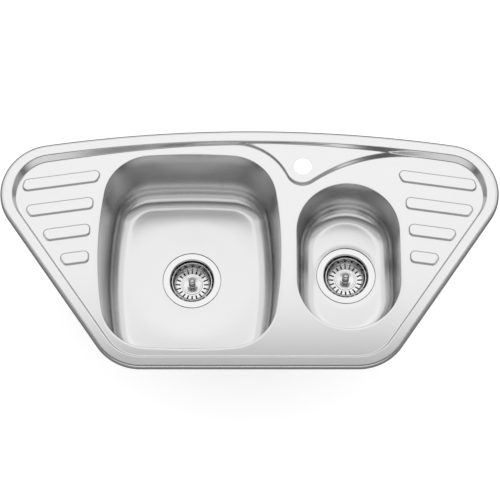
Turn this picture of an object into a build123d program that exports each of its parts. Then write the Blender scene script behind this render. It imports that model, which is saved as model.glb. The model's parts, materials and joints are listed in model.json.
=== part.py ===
from build123d import *
import math
import os

# Corner kitchen sink with one and a half bowls, pressed from stainless steel sheet.
# Millimetres. X runs along the sink, +Y towards the wall corner and the tap, +Z up.
# The origin is on the worktop plane, halfway along the width and the depth.

# --- overall sizes ---
WIDTH = 960.0               # between the two blunt side corners
DEPTH = 485.0               # front edge to the crown of the back edge
SHEET = 0.9                 # steel sheet
BACK_RADIUS = 2600.0        # the back edge is a very flat arc
SIDE_ANGLE = 55.3           # slope of the two side edges from the X axis
BACK_CORNER = 100.0
FRONT_CORNER = 100.0

# --- heights above the worktop ---
RIM_Z = 8.0                 # top of the raised rim
LEDGE_Z = 3.0               # tap ledge
FIELD_Z = -2.0              # sunk draining field
SHOULDER = 7.9              # radius of the rim's outer shoulder
STEP_INSET = 24.9           # middle of the step from the rim down to the field
STEP_FILLET = 2.8

# --- tap ledge ---
TAP_X, TAP_Y = 103.2, 168.1
TAP_HOLE_R = 17.5
SWELL_X, SWELL_Y = 101.9, 163.6     # the ledge swells round the tap hole
SWELL_R = 31.5
LEDGE_START_X = -34.3       # where the ledge parts from the back step
LEDGE_END_X = 345.8         # where it runs back into it

# --- draining ribs, one set on each side ---
RIB_INNER_X = (289.4, 301.0, 305.6, 306.5)   # inner ends, back rib first
RIB_INNER_LEAN = (0.55, 0.0, 0.0, 0.0)       # sideways run of the inner end for each millimetre down
RIB_TOP_Y = 160.3           # upper side of the back rib, at X = 300
RIB_PITCH = 54.7
RIB_WIDTH = 23.5
RIB_HEIGHT = 3.0
RIB_SLOPE = 0.143           # the ribs run parallel to the back edge
RIB_END_INSET = 39.5        # outer ends, from the sink's outer edge
RIB_CORNER = 9.0
RIB_FILLET = 1.4

# --- bowls: centre, half sizes at the mouth, depth below the field ---
BOWL_LIP = 1.6              # rounded edge of the mouth
WELD_LAND = 4.0             # flat land round the mouth, welded to the deck
RECESS_R = 58.2             # seat for the waste flange
RECESS_DEPTH = 2.0
WASTE_HOLE_R = 45.5
MAIN = dict(x=-114.5, y=-3.0, half_x=174.5, half_y=197.5, side_r=770.0, end_r=1150.0, corner=91.0,
            depth=172.0, draft=16.0, foot=35.0, dish=3.0, dish_r=128.0)
HALF = dict(x=188.8, y=-13.9, half_x=98.5, half_y=147.0, side_r=None, end_r=None, corner=None,
            depth=115.0, draft=10.0, foot=32.0, dish=1.0, dish_r=66.0)

# --- sealing strip and sound pads ---
SEAL_INSETS = (8.5, 14.5)
PAD_THICKNESS = 2.5

# --- waste fittings: radii and heights from the top of the flange ---
FLANGE_R = 57.0
FLANGE_T = 1.0
CUP_R_TOP, CUP_R_FOOT = 43.5, 40.0
CUP_DEPTH = 32.0
CUP_T = 0.9
DIMPLE_R, DIMPLE_DEPTH = 12.0, 4.0
CUP_HOLES, CUP_HOLE_R, CUP_HOLE_CIRCLE = 8, 3.6, 17.8
UNDER_SEAL_T = 3.0
UNDER_SEAL_RADII = (47.0, 56.5)
BODY_R, BODY_T = 51.0, 3.5
BODY_FLANGE_R = 57.5
OUTLET_R, OUTLET_BORE_R = 23.9, 20.0    # G 1 1/2 male thread
OUTLET_LENGTH = 38.0
BODY_FOOT = 50.0
BOSS_R = 11.0
SPIDER_RIBS = 3
SCREW_R, SCREW_HEAD_R = 5.0, 9.0
SOCKET_R, SOCKET_DEPTH = 3.3, 10.0

# --- strainer basket ---
BASKET_T = 0.8
BASKET_RIM_R, BASKET_RIM_Z = 39.4, -4.5
BASKET_WALL_R, BASKET_WALL_Z = 34.4, -20.5
BASKET_FLOOR_R, BASKET_FLOOR_Z = 22.3, -24.8
BASKET_DISC_R, BASKET_DISC_Z = 20.6, -23.2
DISH_R, DISH_FLAT_R, DISH = 16.0, 9.0, 1.0      # the disc is dished round the knob
GROOVE_R = 17.6
SLOTS, SLOT_WIDTH = 20, 3.0
KNOB_R, KNOB_Z = 6.8, -8.4
KNOB_NECK_R = 5.8
POST_R = 3.0
TURN_CLEARANCE = 0.05
STOPPER_R, STOPPER_T = 27.0, 2.6
STOPPER_TOP = BASKET_FLOOR_Z - BASKET_T - 0.3
STUD_R = 2.0                # threaded foot of the post, below the stopper
NUT_H = 3.0
CLIP_TOP, CLIP_LENGTH = STOPPER_TOP - STOPPER_T - NUT_H - 0.1, 7.8

# --- fixing clips ---
CLIP_INSET = 32.5           # screw axis, from the sink's outer edge
CLIP_FRONT_X = 150.0
CLIP_BACK_X = 340.0
CLIP_SIDE_SHARES = (0.27, 0.76)     # places along each side edge, from the front
BRACKET_LENGTH, BRACKET_WIDTH, BRACKET_T = 30.0, 7.0, 2.0
BRACKET_Z = -24.0           # underside of the tapped web
CLIP_SCREW_R = 2.5
CLIP_SCREW_TOP, CLIP_SCREW_FOOT = -18.0, -56.0
CLIP_HEAD_R, CLIP_HEAD_H = 5.0, 3.6
WASHER_R, WASHER_T = 6.0, 1.0
CLAW_T, CLAW_WIDTH = 2.0, 14.0
CLAW_REACH, CLAW_HEEL = 24.0, 8.0
CLAW_TOOTH = 10.0

os.makedirs("parts", exist_ok=True)


def save(node, shape):
    shape.label = node
    export_step(shape, f"parts/{node}.step")


# ---------------------------------------------------------------- plan outlines
side_turn = math.radians(SIDE_ANGLE)
side_normal = Vector(math.sin(side_turn), -math.cos(side_turn))
back_centre = Vector(0, DEPTH / 2 - BACK_RADIUS)

# the back corner touches the back arc and reaches exactly half the width
corner_x = WIDTH / 2 - BACK_CORNER
corner_y = back_centre.Y + math.sqrt((BACK_RADIUS - BACK_CORNER) ** 2 - corner_x ** 2)
back_corner = Vector(corner_x, corner_y)
side_reach = back_corner.dot(side_normal) + BACK_CORNER
front_y = -DEPTH / 2 + FRONT_CORNER
front_corner = Vector((side_reach - FRONT_CORNER - side_normal.Y * front_y) / side_normal.X, front_y)


def mirrored(point):
    return Vector(-point.X, point.Y)


def arc_about(centre, start, end):
    """Arc from start to end about a centre, the short way round."""
    radius = (start - centre).length
    middle = ((start - centre) + (end - centre)).normalized() * radius
    return ThreePointArc(start, centre + middle, end)


def outline_points(inset):
    """Joints between the arcs and lines of the right half of the outline, back to front."""
    back = back_corner + (back_corner - back_centre).normalized() * (BACK_CORNER - inset)
    side_top = back_corner + side_normal * (BACK_CORNER - inset)
    side_foot = front_corner + side_normal * (FRONT_CORNER - inset)
    front = front_corner + Vector(0, -1) * (FRONT_CORNER - inset)
    return back, side_top, side_foot, front


def outline_flanks(inset):
    """Everything but the back arc, from the right back corner round to the left one."""
    back, top, foot, front = outline_points(inset)
    right = [arc_about(back_corner, back, top), Line(top, foot), arc_about(front_corner, foot, front)]
    left = [arc_about(mirrored(front_corner), mirrored(front), mirrored(foot)),
            Line(mirrored(foot), mirrored(top)),
            arc_about(mirrored(back_corner), mirrored(top), mirrored(back))]
    return right + [Line(front, mirrored(front))] + left


def outline(inset):
    """Face of the sink's plan shape, drawn in by the inset all round."""
    back = outline_points(inset)[0]
    return make_face(outline_flanks(inset) + [arc_about(back_centre, mirrored(back), back)])


def ledge_curve(shift):
    """The S-shaped edge of the tap ledge: two arcs that touch its swell and the back step."""
    swell = Vector(SWELL_X, SWELL_Y)
    back_r = BACK_RADIUS - STEP_INSET

    def leaving(x):
        away = Vector(x / back_r, math.sqrt(1 - (x / back_r) ** 2))
        touch = back_centre + away * back_r
        gap = touch - swell
        radius = (gap.dot(gap) - SWELL_R ** 2) / (2 * away.dot(gap) + 2 * SWELL_R)
        centre = touch - away * radius
        swell_way = (swell - centre).normalized()
        return centre, centre + away * (radius - shift), centre + swell_way * (radius - shift)

    first, start, first_end = leaving(LEDGE_START_X)
    last, end, last_start = leaving(LEDGE_END_X)
    return [arc_about(first, start, first_end), arc_about(swell, first_end, last_start),
            arc_about(last, last_start, end)], start, end


def field_outline(inset):
    """Face of the sunk field: the outline, with the S-curve in place of part of the back arc."""
    shift = inset - STEP_INSET
    curve, start, end = ledge_curve(shift)
    back = outline_points(inset)[0]
    edges = outline_flanks(inset) + [arc_about(back_centre, mirrored(back), start)]
    edges += curve + [arc_about(back_centre, end, back)]
    return make_face(edges)


def rib_outline(index, side, inset):
    """Plan of one draining rib; side is 1 on the right and -1 on the left."""
    top_y = RIB_TOP_Y - index * RIB_PITCH

    def upper(x):
        return top_y - inset - RIB_SLOPE * (x - 300)

    def lower(x):
        return upper(x) - RIB_WIDTH + 2 * inset

    lean = RIB_INNER_LEAN[index]
    inner_x = RIB_INNER_X[index] + inset
    half = RIB_WIDTH / 2 - inset
    reach = side_reach - RIB_END_INSET - inset

    def outer(height):
        # where an edge of the rib meets the line parallel to the side edge
        level = height(300) + RIB_SLOPE * 300
        return (reach - side_normal.Y * level) / (side_normal.X - side_normal.Y * RIB_SLOPE)

    high, low = outer(upper), outer(lower)
    if index == 0:
        # the back rib ends on the rounded back corner instead
        radius = BACK_CORNER - RIB_END_INSET - inset
        high = back_corner.X + math.sqrt(radius ** 2 - (upper(430) - back_corner.Y) ** 2)
        low = back_corner.X + math.sqrt(radius ** 2 - (lower(430) - back_corner.Y) ** 2)
    inner_high, inner_low = inner_x - lean * half, inner_x + lean * half
    corners = [(inner_high, upper(inner_high)), (high, upper(high)), (low, lower(low)),
               (inner_low, lower(inner_low))]
    face = make_face(Polyline(*[(side * x, y) for x, y in corners], close=True))
    return fillet(face.vertices(), RIB_CORNER - inset)


def bowl_outline(bowl, grow):
    """Mouth shape of a bowl, drawn out by grow all round."""
    if bowl["corner"] is None:
        shape = SlotOverall(2 * (bowl["half_y"] + grow), 2 * (bowl["half_x"] + grow), rotation=90)
    else:
        side_r, end_r = bowl["side_r"] + grow, bowl["end_r"] + grow
        side_at = bowl["side_r"] - bowl["half_x"]
        end_at = bowl["end_r"] - bowl["half_y"]
        sides = Pos(-side_at, 0) * Circle(side_r) & Pos(side_at, 0) * Circle(side_r)
        ends = Pos(0, -end_at) * Circle(end_r) & Pos(0, end_at) * Circle(end_r)
        shape = sides & ends
        shape = fillet(shape.vertices(), bowl["corner"] + grow)
    return Pos(bowl["x"], bowl["y"]) * shape


def block(face, low, high):
    return extrude(Pos(0, 0, low) * face, amount=high - low)


def level_edges(shape, z):
    return shape.edges().filter_by_position(Axis.Z, z - 0.01, z + 0.01)


# ---------------------------------------------------------------- deck
def level_face(solid, z):
    """The largest flat face at a height."""
    flat = [face for face in solid.faces().filter_by(Plane.XY) if abs(face.center().Z - z) < 0.05]
    return max(flat, key=lambda face: face.area)


def deck_pressing(depth):
    """Everything under the deck's skin, with the skin moved in by depth."""
    rim_z, ledge_z, field_z = RIM_Z - depth, LEDGE_Z - depth, FIELD_Z - depth
    solid = block(outline(depth), -30, rim_z)
    solid -= block(outline(STEP_INSET - depth), ledge_z, RIM_Z + 1)
    solid -= block(field_outline(STEP_INSET - depth), field_z, RIM_Z + 1)
    solid = fillet(level_face(solid, field_z).outer_wire().edges(), STEP_FILLET + depth)
    solid = fillet(level_face(solid, rim_z).inner_wires()[0].edges(), STEP_FILLET - depth)
    solid = fillet(level_face(solid, rim_z).outer_wire().edges(), SHOULDER - depth)
    rib_z = field_z + RIB_HEIGHT
    for side in (1, -1):
        for index in range(len(RIB_INNER_X)):
            solid += block(rib_outline(index, side, RIB_FILLET + depth), field_z - 2, rib_z)
    solid = fillet(level_edges(solid, rib_z), RIB_FILLET - depth)
    rib_feet = [edge for wire in level_face(solid, field_z).inner_wires() for edge in wire.edges()]
    return fillet(rib_feet, RIB_FILLET + depth)


def make_deck():
    deck = deck_pressing(0) - deck_pressing(SHEET)
    deck -= block(outline(-5) - outline(SHOULDER), -40, 0)
    for bowl in (MAIN, HALF):
        deck -= block(bowl_outline(bowl, BOWL_LIP + WELD_LAND), -40, 20)
    return deck - Pos(TAP_X, TAP_Y, 0) * Cylinder(TAP_HOLE_R, 60)


def make_rim_seal():
    outer, inner = SEAL_INSETS
    return block(outline(outer) - outline(inner), 0, RIM_Z - SHEET)


# ---------------------------------------------------------------- bowls
def drain_z(bowl):
    return FIELD_Z - bowl["depth"]


def bowl_pressing(bowl, depth):
    """Everything round a bowl's hollow, with the skin moved out by depth."""
    floor_z = drain_z(bowl) + bowl["dish"] - depth
    hollow = loft([Pos(0, 0, FIELD_Z) * bowl_outline(bowl, depth),
                   Pos(0, 0, floor_z) * bowl_outline(bowl, depth - bowl["draft"])], ruled=True)
    hollow = fillet(level_edges(hollow, floor_z), bowl["foot"] + depth)
    land = bowl_outline(bowl, BOWL_LIP + WELD_LAND)
    solid = block(land, drain_z(bowl) - 40, FIELD_Z - depth) - hollow
    if depth < BOWL_LIP:
        mouth = level_face(solid, FIELD_Z - depth).inner_wires()[0].edges()
        solid = fillet(mouth, BOWL_LIP - depth)
    at = Pos(bowl["x"], bowl["y"], 0)
    dish = Cone(RECESS_R, bowl["dish_r"], bowl["dish"], align=(Align.CENTER, Align.CENTER, Align.MAX))
    recess = Cylinder(RECESS_R + depth, RECESS_DEPTH + 5, align=(Align.CENTER, Align.CENTER, Align.MIN))
    solid -= at * Pos(0, 0, floor_z) * dish
    return solid - at * Pos(0, 0, drain_z(bowl) - RECESS_DEPTH - depth) * recess


def make_bowl(bowl):
    sheet = bowl_pressing(bowl, 0) - bowl_pressing(bowl, SHEET)
    return sheet - Pos(bowl["x"], bowl["y"], drain_z(bowl)) * Cylinder(WASTE_HOLE_R, 60)


def make_pads(bowl, size_x, size_y, shift_x, shift_y):
    """Two sound pads stuck under a bowl's floor, either side of the waste."""
    layer = bowl_pressing(bowl, SHEET) - bowl_pressing(bowl, SHEET + PAD_THICKNESS)
    pads = []
    for way in (1, -1):
        patch = RectangleRounded(size_x, size_y, 10)
        place = Pos(bowl["x"] + way * shift_x, bowl["y"] + way * shift_y)
        pads.append(layer & block(place * patch, drain_z(bowl) - 30, drain_z(bowl) + 20))
    return Compound(children=[solid for pad in pads for solid in pad.solids()])


# ---------------------------------------------------------------- waste fittings
def turned(*points):
    """A turned piece from its half profile of (radius, height) points."""
    profile = make_face(Polyline(*[(r, 0, z) for r, z in points], close=True))
    return revolve(profile, Axis.Z)


def ring(inner, outer, low, high):
    return turned((inner, low), (outer, low), (outer, high), (inner, high))


def round_edges(solid, radius, at_r, at_z):
    """Round the circular edges at one radius and height."""
    picked = [edge for edge in solid.edges().filter_by(GeomType.CIRCLE)
              if abs(edge.radius - at_r) < 0.05 and abs(edge.arc_center.Z - at_z) < 0.05]
    return fillet(picked, radius)


def spokes(count, radius):
    return [Rot(0, 0, 360 / count * i) * Pos(radius, 0, 0) for i in range(count)]


def make_waste_cup():
    foot, wall = -CUP_DEPTH, CUP_T
    low = foot - DIMPLE_DEPTH
    hole = SCREW_R + 0.2
    cup = turned((FLANGE_R, 0), (CUP_R_TOP, 0), (CUP_R_FOOT, foot), (DIMPLE_R, foot), (DIMPLE_R, low),
                 (hole, low), (hole, low - wall), (DIMPLE_R + wall, low - wall),
                 (DIMPLE_R + wall, foot - wall), (CUP_R_FOOT + wall, foot - wall),
                 (CUP_R_TOP + wall, -FLANGE_T), (FLANGE_R, -FLANGE_T))
    cup = round_edges(cup, 2.6, CUP_R_TOP, 0)
    cup = round_edges(cup, 1.6, CUP_R_TOP + wall, -FLANGE_T)
    cup = round_edges(cup, 3.0, CUP_R_FOOT, foot)
    cup = round_edges(cup, 3.9, CUP_R_FOOT + wall, foot - wall)
    cup = round_edges(cup, 0.7, FLANGE_R, 0)
    for spoke in spokes(CUP_HOLES, CUP_HOLE_CIRCLE):
        cup -= spoke * Pos(0, 0, foot) * Cylinder(CUP_HOLE_R, 6)
    return cup


def make_waste_body():
    """Moulded funnel under the bowl, with a spider that holds the threaded insert."""
    top = -RECESS_DEPTH - SHEET - UNDER_SEAL_T
    inner = BODY_R - BODY_T
    foot = -BODY_FOOT
    body = turned((inner, top), (BODY_FLANGE_R, top), (BODY_FLANGE_R, top - 5), (BODY_R, top - 5),
                  (BODY_R, foot + 9), (OUTLET_R, foot), (OUTLET_R, foot - OUTLET_LENGTH),
                  (OUTLET_BORE_R, foot - OUTLET_LENGTH), (OUTLET_BORE_R, foot + 2.5),
                  (inner, foot + 11.5))
    boss_top = -CUP_DEPTH - DIMPLE_DEPTH - CUP_T - 0.5
    inside = turned((0, foot + 11), (inner + 1, foot + 11), (inner + 1, foot + 10.5),
                    (OUTLET_BORE_R + 1, foot + 1.5), (OUTLET_BORE_R + 1, foot), (0, foot))
    for spoke in spokes(SPIDER_RIBS, BODY_R / 2):
        body += spoke * Pos(0, 0, foot + 5) * Box(BODY_R, 3.5, 20) & inside
    body += ring(0, BOSS_R, foot - 4, boss_top)
    return body - ring(0, BOSS_R - 3, foot - 2, boss_top + 1)


def make_thread_insert():
    return ring(SCREW_R, BOSS_R - 3, -BODY_FOOT - 2, -CUP_DEPTH - DIMPLE_DEPTH - CUP_T - 0.5)


def make_clamp_screw():
    seat = -CUP_DEPTH - DIMPLE_DEPTH
    top = seat + 3.5
    screw = ring(0, SCREW_HEAD_R, seat, top) + ring(0, SCREW_R, -BODY_FOOT, seat)
    screw = round_edges(screw, 0.8, SCREW_HEAD_R, top)
    screw -= ring(0, SOCKET_R, top - SOCKET_DEPTH, top + 1)
    return screw - Pos(0, 0, top) * Box(3 * SCREW_HEAD_R, 2, 2.4)


def make_basket():
    """Perforated strainer, a thin turned shell with radial slots in its sloping floor."""
    disc, floor, t = BASKET_DISC_Z, BASKET_FLOOR_Z, BASKET_T
    rim = BASKET_RIM_R
    basket = turned((rim + 0.8, BASKET_RIM_Z), (rim - 1, BASKET_RIM_Z), (BASKET_WALL_R, BASKET_WALL_Z),
                    (BASKET_FLOOR_R, floor), (BASKET_DISC_R + 0.4, floor), (BASKET_DISC_R, disc),
                    (DISH_R, disc), (DISH_FLAT_R, disc - DISH), (POST_R, disc - DISH),
                    (POST_R, disc - DISH - t), (DISH_FLAT_R, disc - DISH - t), (DISH_R, disc - t),
                    (BASKET_DISC_R - t, disc - t),
                    (BASKET_DISC_R - 0.5, floor - t), (BASKET_FLOOR_R + 0.3, floor - t),
                    (BASKET_WALL_R + t, BASKET_WALL_Z - 0.4), (rim - 0.2, BASKET_RIM_Z - t),
                    (rim + 0.8, BASKET_RIM_Z - t))
    basket -= ring(GROOVE_R - 0.5, GROOVE_R + 0.5, disc - 0.4, disc + 1)
    length = BASKET_WALL_R - BASKET_FLOOR_R - 1.6
    middle = (BASKET_WALL_R + BASKET_FLOOR_R) / 2
    slot = Pos(0, 0, floor) * extrude(SlotOverall(length, SLOT_WIDTH), amount=10, both=True)
    for spoke in spokes(SLOTS, middle):
        basket -= spoke * slot
    return basket


def make_knob():
    """Ball knob and its post in one turned piece; the post runs down through basket and stopper."""
    seat = BASKET_DISC_Z - DISH
    low = STOPPER_TOP - STOPPER_T
    collar = CLIP_TOP - CLIP_LENGTH - 0.1
    neck = KNOB_NECK_R
    post = turned((0, KNOB_Z), (neck, KNOB_Z), (neck, seat + 3.5), (neck + 0.6, seat + 1.6), (7, seat + 1),
                  (7, seat), (POST_R, seat), (POST_R, low), (STUD_R, low), (STUD_R, collar),
                  (STUD_R + 0.6, collar), (STUD_R + 0.6, collar - 1), (0, collar - 1))
    return post + Pos(0, 0, KNOB_Z) * Sphere(KNOB_R)


def make_stopper():
    """Rubber stopper under the basket; its skirt closes on the cup's floor."""
    top, low = STOPPER_TOP, STOPPER_TOP - STOPPER_T
    hub = BASKET_DISC_Z - DISH - BASKET_T
    foot = -CUP_DEPTH + 0.05
    return turned((POST_R, hub), (10, hub), (10, top), (STOPPER_R, top), (STOPPER_R, foot),
                  (STOPPER_R - 3, foot), (STOPPER_R - 4.5, low), (POST_R, low))


def make_stopper_nut():
    nut = extrude(RegularPolygon(5, 6, major_radius=False) - Circle(STUD_R), amount=NUT_H)
    return Pos(0, 0, STOPPER_TOP - STOPPER_T - NUT_H) * nut


def make_spring_clip():
    """Split sleeve on the post's foot; it grips the clamp screw's socket and the post turns in it."""
    low = CLIP_TOP - CLIP_LENGTH
    clip = ring(STUD_R + TURN_CLEARANCE, SOCKET_R - TURN_CLEARANCE, low, CLIP_TOP)
    return clip - Pos(0, 0, low) * (Box(20, 0.8, CLIP_LENGTH) + Box(0.8, 20, CLIP_LENGTH))


def make_waste_set(name, bowl):
    """All the pieces of one waste outlet, set at the bowl's drain."""
    under = -RECESS_DEPTH - SHEET
    seal_in, seal_out = UNDER_SEAL_RADII
    pieces = {
        "waste_cup": make_waste_cup(),
        "flange_seal": ring(seal_in, seal_out, -RECESS_DEPTH, -FLANGE_T),
        "under_seal": ring(seal_in, seal_out, under - UNDER_SEAL_T, under),
        "waste_body": make_waste_body(),
        "thread_insert": make_thread_insert(),
        "clamp_screw": make_clamp_screw(),
        "basket": make_basket(),
        "knob": make_knob(),
        "stopper": make_stopper(),
        "stopper_nut": make_stopper_nut(),
        "spring_clip": make_spring_clip(),
    }
    for piece, shape in pieces.items():
        save(f"{name}_{piece}", Pos(bowl["x"], bowl["y"], drain_z(bowl)) * shape)


# ---------------------------------------------------------------- fixing clips
def clip_places():
    """Each clip's screw axis, as a place whose local X points outwards over the worktop."""
    places = []
    for side in (1, -1):
        front = Pos(side * CLIP_FRONT_X, -DEPTH / 2 + CLIP_INSET) * Rot(0, 0, -90)
        places.append(front)
    for side in (1, -1):
        _, top, foot, _ = outline_points(CLIP_INSET)
        for share in CLIP_SIDE_SHARES:
            spot = foot + (top - foot) * share
            turn = SIDE_ANGLE - 90
            places.append(Pos(side * spot.X, spot.Y) * Rot(0, 0, turn if side > 0 else 180 - turn))
    for side in (1, -1):
        away = math.asin(CLIP_BACK_X / (BACK_RADIUS - CLIP_INSET))
        y = back_centre.Y + (BACK_RADIUS - CLIP_INSET) * math.cos(away)
        places.append(Pos(side * CLIP_BACK_X, y) * Rot(0, 0, 90 - side * math.degrees(away)))
    return places


def make_bracket():
    """Strap bracket, long along the sink's edge, with a tapped web for the clip screw."""
    top = FIELD_Z - SHEET
    leg_y = (BRACKET_LENGTH - BRACKET_T) / 2
    web = Pos(0, 0, BRACKET_Z + BRACKET_T / 2) * Box(BRACKET_WIDTH, BRACKET_LENGTH, BRACKET_T)
    height = top - BRACKET_Z
    bracket = web
    for way in (1, -1):
        bracket += Pos(0, way * leg_y, BRACKET_Z + height / 2) * Box(BRACKET_WIDTH, BRACKET_T, height)
        bracket += Pos(0, way * (leg_y + 3), top - BRACKET_T / 2) * Box(BRACKET_WIDTH, 8, BRACKET_T)
    return bracket - Pos(0, 0, BRACKET_Z) * Cylinder(CLIP_SCREW_R + TURN_CLEARANCE, 10)


def make_clip_screw():
    foot = CLIP_SCREW_FOOT
    screw = ring(0, CLIP_SCREW_R, foot, CLIP_SCREW_TOP) + ring(0, CLIP_HEAD_R, foot - CLIP_HEAD_H, foot)
    screw = round_edges(screw, 1.0, CLIP_HEAD_R, foot - CLIP_HEAD_H)
    return screw - Pos(0, 0, foot - CLIP_HEAD_H) * Box(3 * CLIP_HEAD_R, 1.4, 3)


def make_claw():
    """Claw that lies along the sink's edge at rest; a quarter turn brings it over the worktop."""
    low = CLIP_SCREW_FOOT + WASHER_T
    length = CLAW_REACH + CLAW_HEEL
    centre = (CLAW_REACH - CLAW_HEEL) / 2
    plate = Pos(centre, 0) * RectangleRounded(length, CLAW_WIDTH, 5)
    plate += Pos(CLAW_REACH - 6, 0) * Rectangle(12, CLAW_WIDTH)
    claw = extrude(Pos(0, 0, low) * plate, amount=CLAW_T)
    tooth = Pos(CLAW_REACH - CLAW_T / 2, 0, low + CLAW_TOOTH / 2 + CLAW_T / 2)
    claw += tooth * Box(CLAW_T, CLAW_WIDTH, CLAW_TOOTH + CLAW_T)
    for way in (1, -1):
        notch = Pos(CLAW_REACH, way * CLAW_WIDTH / 6, low + CLAW_T + CLAW_TOOTH)
        claw -= notch * Rot(45, 0, 0) * Box(3 * CLAW_T, 2, 2)
    claw -= Pos(0, 0, low) * Cylinder(CLIP_SCREW_R + 0.08, 10)
    return Rot(0, 0, -90) * claw


# ---------------------------------------------------------------- the sink
save("sink_deck", make_deck())
save("rim_seal", make_rim_seal())
save("main_bowl", make_bowl(MAIN))
save("half_bowl", make_bowl(HALF))
save("main_bowl_pads", make_pads(MAIN, 50, 210, 100, 0))
save("half_bowl_pads", make_pads(HALF, 84, 30, 0, 86))
make_waste_set("main", MAIN)
make_waste_set("half", HALF)
save("clip_brackets", Compound(children=[place * make_bracket() for place in clip_places()]))
for number, place in enumerate(clip_places(), 1):
    save(f"clip_{number}_screw", place * make_clip_screw())
    save(f"clip_{number}_washer", place * ring(CLIP_SCREW_R + 0.1, WASHER_R, CLIP_SCREW_FOOT,
                                               CLIP_SCREW_FOOT + WASHER_T))
    save(f"clip_{number}_claw", place * make_claw())
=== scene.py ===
# %% [markdown]
# # A corner kitchen sink in pressed stainless steel
# A sink like this starts as flat sheet. Presses draw two bowls and stamp the deck, the bowls are
# welded in, and the whole top is brushed to a satin finish. This lesson builds the visible skins
# around the measured frame, gives every piece its finish and sets up a plain pale studio.
# Lengths are written in millimetres, as on the drawing, and turned to metres on the way into a
# mesh. The studio's own sizes are in metres.

# %% Load the frame
import json
import math

import bmesh
import bpy
import numpy as np
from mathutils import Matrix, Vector, kdtree
from mathutils.geometry import delaunay_2d_cdt


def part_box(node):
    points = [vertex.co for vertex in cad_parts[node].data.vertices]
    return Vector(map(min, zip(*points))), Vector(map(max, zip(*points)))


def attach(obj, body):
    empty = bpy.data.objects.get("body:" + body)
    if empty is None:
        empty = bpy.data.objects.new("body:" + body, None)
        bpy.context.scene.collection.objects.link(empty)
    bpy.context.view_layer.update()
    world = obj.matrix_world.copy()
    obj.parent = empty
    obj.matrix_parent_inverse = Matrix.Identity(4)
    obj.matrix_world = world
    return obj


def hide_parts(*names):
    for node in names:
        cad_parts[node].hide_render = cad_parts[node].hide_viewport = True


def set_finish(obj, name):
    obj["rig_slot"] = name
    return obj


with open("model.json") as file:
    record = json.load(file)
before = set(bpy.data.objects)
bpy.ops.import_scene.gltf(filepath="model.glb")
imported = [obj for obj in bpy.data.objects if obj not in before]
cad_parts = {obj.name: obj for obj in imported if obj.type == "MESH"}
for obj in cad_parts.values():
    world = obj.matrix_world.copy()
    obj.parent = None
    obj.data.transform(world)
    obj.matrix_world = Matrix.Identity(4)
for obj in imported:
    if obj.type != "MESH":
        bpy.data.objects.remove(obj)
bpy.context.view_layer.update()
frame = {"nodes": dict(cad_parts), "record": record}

MM = 0.001
print("nodes in the frame:", len(frame["nodes"]))

# %% [markdown]
# ## Plan curves
# The sink's outline is all arcs and straight lines that touch each other. A curve is kept here as
# points with the outward direction at each point, so that a parallel curve at any distance is one
# sum. Blender's own curve objects could hold the outline too, but then the outward directions
# would have to be read back from them.

# %% Arcs, and closed curves made of them
STRAY = 0.01          # furthest that a chord may leave its arc
LINE_STEP = 12.0      # spacing of points along straight lines
MIRROR = np.array([-1, 1])


def angle(way):
    return math.degrees(math.atan2(way[1], way[0]))


def left_of(way):
    return np.array([-way[1], way[0]])


def arc(centre, radius, start, end):
    """Points of an arc and the way out at each. A hollow arc runs with falling angles."""
    chord = math.sqrt(8 * radius * STRAY)
    count = max(2, math.ceil(abs(math.radians(end - start)) * radius / chord))
    turns = np.radians(np.linspace(start, end, count + 1))
    spokes = np.column_stack([np.cos(turns), np.sin(turns)])
    return np.add(centre, radius * spokes), spokes if end > start else -spokes


def trace(arcs):
    """A closed curve, counter-clockwise: arcs, joined by the straight lines that touch them."""
    points, ways = [], []
    for (run, out), (after, _) in zip(arcs, arcs[1:] + arcs[:1]):
        gap = after[0] - run[-1]
        length = np.hypot(*gap)
        if length < STRAY:
            points.append(run[:-1])
            ways.append(out[:-1])
            continue
        shares = np.linspace(0, 1, math.ceil(length / LINE_STEP) + 1)[1:-1, None]
        points += [run, run[-1] + shares * gap]
        ways += [out, np.repeat(out[-1:], len(shares), axis=0)]
    return np.vstack(points), np.vstack(ways)


def parallel(curve, outwards):
    return curve[0] + curve[1] * outwards


print("points round a circle of 100 mm radius:", len(trace([arc((0, 0), 100, 0, 360)])[0]))

# %% [markdown]
# ## The outline
# The sink's long back edge is one very flat arc. Two straight sides run in at an angle to the
# short front edge, which is what lets it sit across a corner. The edge could be traced by hand, but
# built from its driving sizes every arc touches the next exactly, so the rim mirrors cleanly.

# %% Sizes that drive the outline
deck_low, deck_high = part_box("sink_deck")
WIDTH = (deck_high.x - deck_low.x) / MM
DEPTH, BACK_RADIUS, CORNER = 485.0, 2600.0, 100.0
SIDE_ANGLE = 55.3                    # between a straight side and the front edge

side_turn = SIDE_ANGLE - 90
side_out = np.array([math.cos(math.radians(side_turn)), math.sin(math.radians(side_turn))])
back_centre = np.array([0, DEPTH / 2 - BACK_RADIUS])
corner_x = WIDTH / 2 - CORNER
back_corner = np.array(
    [corner_x, back_centre[1] + math.sqrt((BACK_RADIUS - CORNER) ** 2 - corner_x ** 2)])
side_reach = back_corner @ side_out + CORNER
front_y = -DEPTH / 2 + CORNER
front_corner = np.array([(side_reach - CORNER - side_out[1] * front_y) / side_out[0], front_y])
back_turn = angle(back_corner - back_centre)
print("front corners are this far apart (mm):", round(2 * front_corner[0], 1))

# %% Outline


def right_flank(inset):
    return [arc(front_corner, CORNER - inset, -90, side_turn),
            arc(back_corner, CORNER - inset, side_turn, back_turn)]


def left_flank(inset):
    return [arc(back_corner * MIRROR, CORNER - inset, 180 - back_turn, 180 - side_turn),
            arc(front_corner * MIRROR, CORNER - inset, 180 - side_turn, 270)]


back_edge = arc(back_centre, BACK_RADIUS, back_turn, 180 - back_turn)
outline = trace(right_flank(0) + [back_edge] + left_flank(0))
print("outline points:", len(outline[0]))

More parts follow.
